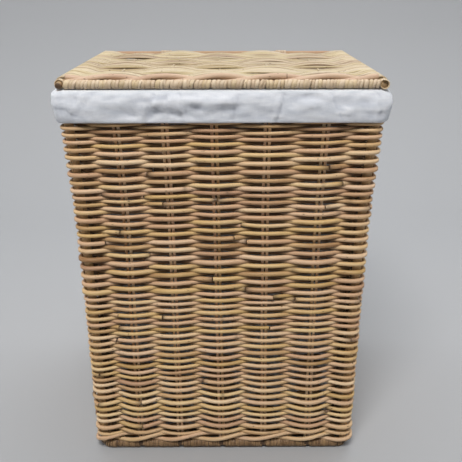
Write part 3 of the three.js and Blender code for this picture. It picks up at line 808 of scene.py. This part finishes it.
# ---------------------------------------------------------------- lid frame
part = Canes()
x = np.linspace(-223.5, 223.5, 90)
q = np.column_stack([x, np.full(90, AXIS_Y), np.full(90, AXIS_Z)])
part.add(q, 5.7 * (1 + smooth_noise(90, 12, 0.008)), (0, 0, 1), sides=12, tone=0.12, hue=0.8, dark=0.2, cut=0.9)
part.build("lid_bar_rear_pole", POLE, "lid", "pole_cane", "lid_bar_rear")
for side, x0 in (("left", -LID_X), ("right", LID_X)):
    part = Canes()
    y = np.linspace(-189.2 if side == "left" else -186.5, 176.8, 70)
    thin = np.interp(y, [-190, -176, 177], [4.3, 5.3, 5.5])
    drop = np.interp(y, [-190, -170, 177], [-1.1, 0, 0])
    part.add(np.column_stack([np.full(70, x0), y, AXIS_Z + drop]), thin, (0, 0, 1), sides=12, tone=0.5, hue=0.4, dark=np.interp(y, [-190, -186, -182], [0.75, 0.35, 0.0]) * (1.0 if side == "left" else 0.35), cut=0.97 if side == "left" else 0.55)
    part.build(f"lid_bar_{side}_pole", POLE, "lid", "pole_cane", f"lid_bar_{side}")
    # turns of peel that tie the side bar to the front bar
    part = Canes()
    for i, yy in enumerate((-185.6, -180.6, -175.8) if side == "right" else (-181.5, -176.4)):
        n = 22
        a = TAU * np.arange(n) / n
        rr = 5.9 + 0.25 * np.sin(a + i)
        q = np.column_stack([x0 + rr * np.cos(a), yy + 0.8 * np.sin(a + 1.1 * i), AXIS_Z + rr * np.sin(a)])
        radial = np.column_stack([np.cos(a), np.zeros(n), np.sin(a)])
        part.add(q, 0.7, radial, closed=True, flat=(3.0, 1.0), square=0.7, sides=8, tone=0.62 + 0.1 * (i % 2), hue=0.3, phase=0.5)
    if side == "right":  # the tail of the peel bent round the end of the bar
        for i, (rad, dy) in enumerate(((5.9, -0.4),)):
            n = 26
            a = np.linspace(-2.0, 1.9, n)
            q = np.column_stack([x0 - 0.6 + rad * np.cos(a), -188.3 + dy - 1.2 * np.cos(a * 0.7), AXIS_Z + 0.4 + rad * np.sin(a)])
            radial = np.column_stack([np.cos(a), np.zeros(n), np.sin(a)])
            part.add(q, 0.8, radial, flat=(2.6, 1.0), square=0.7, sides=8, tone=0.8, hue=0.3, phase=0.5)
    part.build(f"lid_corner_{side}_peel", PEEL, "lid", "peel_wrap")

part = Canes()
fx0 = 211.5
x = np.linspace(-fx0, fx0, 60)
part.add(np.column_stack([x, np.full(60, -184.0), np.full(60, AXIS_Z)]), 4.6, (0, 0, 1), sides=10, tone=0.3, hue=0.4, dark=0.3)
widths = []
xx = -fx0 + 0.3
while xx < fx0 - 3:
    w = float(np.clip(rng.normal(5.6, 1.1), 3.8, 7.8))
    widths.append((xx, w))
    xx += w * 0.93 + (float(rng.uniform(0.6, 1.6)) if rng.random() < 0.12 else 0.0)
for x0, w in widths:  # each turn of the wide peel is its own slanted ring, crowned across its width
    n = 22
    a = TAU * np.arange(n) / n
    slant = rng.normal(1.1, 0.6)
    rr = 4.9 + rng.normal(0, 0.16) + 0.2 * np.sin(a + rng.uniform(0, TAU))
    q = np.column_stack([x0 + w / 2 + slant * np.sin(a + 0.6), -184.0 + rr * np.cos(a), AXIS_Z + rr * np.sin(a)])
    radial = np.column_stack([np.zeros(n), np.cos(a), np.sin(a)])
    tone = float(np.clip(rng.normal(0.60, 0.13), 0.05, 0.95))
    part.add(q, 1.25, radial, closed=True, flat=(w * 0.5 / 1.25, 1.0), square=0.9, sides=10, tone=tone,
             hue=float(rng.uniform(0.1, 0.6)), dark=0.12 if rng.random() < 0.12 else 0.0, phase=0.5)
part.build("lid_bar_front_wrapped", PEEL, "lid", "peel_wrap", "lid_bar_front")

# ---------------------------------------------------------------- lid ribs and twist
RIB_AT = np.concatenate([[-300.0, -226.0], LID_RIBS, [222.0, 296.0]])


def rib_phase(x):
    """Counts ribs along X: whole numbers at the ribs, 0 at the first one."""
    return np.interp(x, RIB_AT, np.arange(len(RIB_AT)) - 2.0)


BANDS = [(-165.0, -102.0), (-102.0, -47.0), (-47.0, 10.0), (10.0, 66.0), (66.0, 122.0), (122.0, 175.5)]
LID_MID = 619.8


part = Canes()
for i, x in enumerate(LID_RIBS):
    y = np.linspace(-177.0, 177.0, 120)
    # the rib's give is worked out, down below the bands that pass over it and up over the others, but it is scaled by
    # zero, so the rib lies level
    b = np.zeros_like(y)
    for j, (y0, y1) in enumerate(BANDS):
        s_ = 1 if (i + j) % 2 == 0 else -1
        inside = np.clip((y - y0) / (y1 - y0), 0, 1)
        b += s_ * np.sin(math.pi * inside) * ((y >= y0) & (y < y1))
    z = 619.2 + 0.5 * b * 0
    part.add(np.column_stack([x + smooth_noise(120, 40, 0.5), y, z]), 1.3, (0, 0, 1), flat=(1.6, 1.0), tone=0.34, hue=0.5)
part.build("lid_ribs_cane", LIDCANE, "lid", "lid_cane", *[f"lid_rib_{i + 1}" for i in range(5)])

part = Canes()
n = 240
x = np.linspace(-212, 211, n)
for j in (0, 1):
    ph = math.pi * (rib_phase(x) - 1 - j)  # on top at every other rib
    z = 621.5 + 4.0 * np.cos(ph) + smooth_noise(n, 24, 0.25)
    y = -172.6 + 3.8 * np.sin(ph) + smooth_noise(n, 24, 0.3)
    r = 4.15 * (1 + smooth_noise(n, 40, 0.05))
    cutat = int(n * (0.38 if j else 0.71))
    for a, b in ((0, cutat), (cutat, n)):
        tone, hue = cane_look(0.12)
        part.add(np.column_stack([x, y, z])[a:b], r[a:b], (0, 1, 0), tone=0.6 + rng.normal(0, 0.08) + smooth_noise(b - a, 20, 0.1), hue=0.8)
part.build("lid_twist_canes", PINK, "lid", "twist_cane", "lid_twist_front")

# ---------------------------------------------------------------- lid weave, in bands of split cane
lid_front, lid_rear = Canes(), Canes()
flat_x = np.linspace(-LID_X, LID_X, 180)
turn = np.radians(np.linspace(78, 8, 7))  # each cane is bent down over the side bars
x = np.concatenate([-LID_X - 7.3 * np.cos(turn[::-1]), flat_x, LID_X + 7.3 * np.cos(turn)])
over_z = np.concatenate([AXIS_Z + 7.3 * np.sin(turn[::-1]), np.full(180, np.nan), AXIS_Z + 7.3 * np.sin(turn)])
n = len(x)
ph = rib_phase(x)
refs = np.tile([0.0, 0.0, 1.0], (n, 1))
refs[:7] = np.column_stack([-np.cos(turn[::-1]), np.zeros(7), np.sin(turn[::-1])])
refs[-7:] = np.column_stack([np.cos(turn), np.zeros(7), np.sin(turn)])
for bi, (y0, y1) in enumerate(BANDS):
    count = 14
    yc, half = (y0 + y1) / 2, (y1 - y0) / 2
    over = np.cos(math.pi * (ph - bi))  # +1 where this band is over a rib
    shape = np.sign(over) * np.abs(over) ** 0.8
    for j in range(count):
        w = -1 + 2 * (j + 0.5) / count + rng.normal(0, 0.02)
        spread = 1 + 0.05 * np.abs(over) ** 1.5
        if bi == 0 and w < 0:
            spread = 1 + 0.02 * np.abs(over)
        if bi == len(BANDS) - 1 and w > 0:
            spread = 1 - 0.08 * over - 0.05
        y = yc + half * w * spread + smooth_noise(n, 30, 0.6) + 1.2 * np.sin(x / 41 + bi * 1.7)
        dome = max(math.cos(math.pi * min(abs(w), 1) / 2), 0) ** 0.7
        z = LID_MID + np.where(shape > 0, 0.6 + 4.4 * dome, 0.4 + 2.3 * dome) * shape
        edge = np.clip((np.abs(x) - 186) / 26, 0, 1)
        edge = edge * edge * (3 - 2 * edge)
        y = y + np.where(x < 0, rng.normal(0, 1.1), rng.normal(0, 1.1)) * edge
        z = z * (1 - edge) + (624.4 + 0.3 * np.sin(j * 2.4)) * edge
        z = z + (smooth_noise(n, 22, 0.42) + rng.normal(0, 0.42)) * (1 - 0.8 * edge)
        z = np.minimum(z, 626.9)
        low = np.clip((y - 160) / 12, 0, 1)
        z = z * (1 - low) + np.minimum(z, 621.6) * low
        if bi == len(BANDS) - 1 and w > 0.35:  # the last canes draw in between the ribs
            gap = (0.5 - 0.5 * np.cos(TAU * ph)) * (np.abs(x) < 200) * (w - 0.35) / 0.65
            y = y - 7.5 * gap
            z = z - 2.6 * gap
        z = np.where(np.isnan(over_z), z, over_z - 0.3)
        tone, hue = cane_look(0.0)
        tone = np.clip(0.5 + (tone - 0.5) * 1.45 + smooth_noise(n, 34, 0.13), 0, 1)
        keep = slice(int(rng.integers(0, 4)), n - int(rng.integers(0, 4)))
        shade = 0.6 * np.clip(-shape, 0, 1) ** 4 * np.clip((abs(w) - 0.72) / 0.25, 0, 1) + 0.12
        shade = shade * (1 - edge) * float(rng.uniform(0.3, 1.0))
        part = lid_front if bi < 3 else lid_rear
        part.add(np.column_stack([x, y, z])[keep], 1.5 * rng.normal(1, 0.07), refs[keep], flat=(1.95, 1.0), square=0.85,
                 sides=8, tone=tone[keep], hue=hue * 0.75, dark=shade[keep], phase=0.5)
lid_front.build("lid_weave_front_canes", LIDCANE, "lid", "lid_cane", "lid_weave")
lid_rear.build("lid_weave_rear_canes", LIDCANE, "lid", "lid_cane", "lid_weave")

# ---------------------------------------------------------------- cotton liner
# One sheet: the bag's wall from its floor up, over the rim, down outside as the cuff, and its hem.
BAG_SLACK = 13.0


def liner_mesh():
    n = 480
    path, L = rect_path(100.0, 100.0, 20.0, n)  # not used; the real rings come below
    prof = []  # (half width, half depth, corner radius, height, cloth height)
    for z in np.linspace(20, 598, 40):
        o = float(out_at(z)) - BAG_SLACK * float(np.interp(z, [16, 60, 540, 600], [0.9, 1, 1, 0]))
        prof.append((197.6 + o, 162.6 + o, 30.0, z))
    o = float(out_at(600))
    prof += [(208.5 + 1.0, 173.5 + 1.0, 28.0, 604.0), (212.5, 177.5, 27.0, 607.8), (217.0, 182.0, 25.0, 609.4),
             (222.0, 187.0, 23.0, 609.6), (226.6, 191.6, 20.0, 608.4), (229.4, 194.4, 18.0, 605.2)]
    for z, b in ((601, 230.6), (597, 231.0), (592, 231.2), (587, 231.2), (582, 230.9), (577, 230.3), (573, 229.6), (570, 228.8), (567.6, 228.0)):
        prof.append((b, b - 35, 18.0, z))
    prof.append((227.4, 192.4, 17.5, 566.6))
    prof.append((226.9, 191.9, 17.2, 567.6))
    rings = []
    for a, b, r, z in prof:
        P, _ = rect_path(a, b, r, n)
        rings.append(np.column_stack([P[:, :2], np.full(n, z)]))
    return np.array(rings), np.array(prof)


rings, prof = liner_mesh()
m, n = rings.shape[:2]
length = np.concatenate([[0], np.cumsum(np.linalg.norm(np.diff(rings[:, 0], axis=0), axis=1))])
round_s = np.linspace(0, 1640, n, endpoint=False)
centre = rings.mean(1, keepdims=True)
outward = unit((rings - centre) * np.array([1, 1, 0]))
wave = lambda a_, b_, c_: np.sin(a_ * round_s[None, :] / 1640 * TAU + b_ + c_ * length[:, None] / 40)
on_cuff = np.clip((length[:, None] - 615) / 14, 0, 1) * np.clip((length[-1] - length[:, None]) / 10, 0.35, 1)


def cloth_noise(step_s, step_l, amp):
    """Smooth random relief over the sheet, with knots every step_s round it and step_l up it, in mm."""
    ks, kl = int(1640 / step_s), int(length[-1] / step_l) + 3
    g = rng.normal(0, 1, (kl, ks))
    u, v = round_s / 1640 * ks, length / step_l
    i, j = np.floor(u).astype(int), np.floor(v).astype(int)
    f, h = u - i, v - j
    f, h = f * f * (3 - 2 * f), h * h * (3 - 2 * h)
    top = g[j[:, None], i[None] % ks] * (1 - f) + g[j[:, None], (i[None] + 1) % ks] * f
    bot = g[j[:, None] + 1, i[None] % ks] * (1 - f) + g[j[:, None] + 1, (i[None] + 1) % ks] * f
    return amp * (top * (1 - h[:, None]) + bot * h[:, None])


fine = cloth_noise(22, 5.5, 1.5) + cloth_noise(11, 4.5, 0.8) + cloth_noise(46, 7, 0.5)
relief = fine + cloth_noise(70, 9, 1.2) + cloth_noise(150, 20, 1.0)
# painted shade laid beside the folds of the cuff
crease_shade = np.zeros_like(relief)
for at, slope, amp, wide in ((-221, 0.1, 1.7, 2.6), (208, -0.05, 1.5, 2.2), (-102, 0.35, 2.0, 3.0), (-92, 0.9, 1.2, 3.0), (-55, -0.3, 1.7, 2.6), (76, 0.3, 1.9, 2.6), (-196, 0.9, 1.8, 4.0), (-208, 0.6, 1.3, 3.0), (150, -0.4, 0.9, 3.4), (12, 0.2, 0.8, 4.0)):
    amp *= 1.25
    d = rings[:, :, 0] - at - slope * (rings[:, :, 2] - 588)
    front = rings[:, :, 1] < -170
    crease_shade += np.where(front, 0.42 * np.exp(-(((d - 1.8 * wide) / (0.8 * wide)) ** 2)), 0)
    relief += np.where(front, amp * np.exp(-((d / wide) ** 2)) - 0.7 * amp * np.exp(-(((d - 1.8 * wide) / wide) ** 2)), 0)
# short sharp folds all the way round, slanting either way, some nearly level, each with painted shade beside it
for _ in range(120):
    s0, z0 = rng.uniform(0, 1640), rng.uniform(568, 602)
    slope = rng.normal(0, 1.6) if rng.random() < 0.6 else rng.choice([-1, 1]) * rng.uniform(4, 9)
    wide, tall, amp = rng.uniform(1.6, 3.0), rng.uniform(5, 13), rng.uniform(0.5, 1.25)
    ds = (round_s[None, :] - s0 + 820) % 1640 - 820 - slope * (rings[:, :, 2] - z0)
    wide = wide * math.sqrt(1 + slope * slope) * (0.75 if abs(slope) > 3 else 1)
    within = np.exp(-(((rings[:, :, 2] - z0) / tall) ** 2)) * (length[:, None] > 600)
    relief += within * amp * (np.exp(-((ds / wide) ** 2)) - 0.6 * np.exp(-(((ds - 1.7 * wide) / wide) ** 2)))
    crease_shade += within * 0.3 * amp * np.exp(-(((ds - 1.7 * wide) / (0.8 * wide)) ** 2))
bag = np.clip((600 - length[:, None]) / 60, 0, 1) * np.clip(length[:, None] / 40, 0, 1)
slack = cloth_noise(90, 160, 2.4) + cloth_noise(40, 110, 1.3)
relief = relief * np.interp(np.abs(rings[:, :, 0]), [205, 222], [1.0, 0.55])
rings = rings + outward * ((relief * on_cuff) + np.minimum(slack, 3.0) * bag * 0.5)[..., None]
rings[:, :, 2] += (cloth_noise(60, 60, 0.35) * on_cuff)
verts = rings.reshape(-1, 3)
# the cloth attribute's third channel is painted shade, beside the folds and in the hollows of the fine relief on the
# cuff
cloth = np.stack([np.broadcast_to(round_s, (m, n)), np.broadcast_to(length[:, None], (m, n)), np.clip(crease_shade - 0.10 * (fine + 0.8), 0, 0.5) * on_cuff], -1).reshape(-1, 3)
idx = np.arange(m * n).reshape(m, n)
quads = np.stack([idx[:-1], idx[1:], np.roll(idx, -1, 1)[1:], np.roll(idx, -1, 1)[:-1]], -1).reshape(-1, 4)
# the bag's floor: rings that close in to a small middle
fl = []
base0 = rings[0]
for f in np.linspace(0.93, 0.02, 14):
    r2 = base0.copy()
    r2[:, :2] *= f
    r2[:, 2] = 18.8
    fl.append(r2)
fl = np.array(fl)
k0 = len(verts)
verts = np.concatenate([verts, fl.reshape(-1, 3), [[0, 0, 18.8]]])
cloth = np.concatenate([cloth, np.column_stack([fl.reshape(-1, 3)[:, 0], fl.reshape(-1, 3)[:, 1], np.zeros(fl.size // 3)]), [[0, 0, 0]]])
fidx = k0 + np.arange(fl.shape[0] * n).reshape(fl.shape[0], n)
rows = [idx[0]] + list(fidx)
fq = []
for a, b in zip(rows[1:], rows[:-1]):
    fq.append(np.stack([a, b, np.roll(b, -1), np.roll(a, -1)], -1))
quads = np.concatenate([quads, np.concatenate(fq)])
core = len(verts) - 1
last = rows[-1]
tris = np.stack([np.full(n, core), last, np.roll(last, -1)], -1)
liner = make_mesh("liner_cotton", verts, quads, tris, {"cloth": cloth})
liner.data.materials.append(COTTON)
sol = liner.modifiers.new("cloth", "SOLIDIFY")
sol.thickness = 0.0009
sol.offset = 0.0
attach(liner, "basket")
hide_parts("liner")
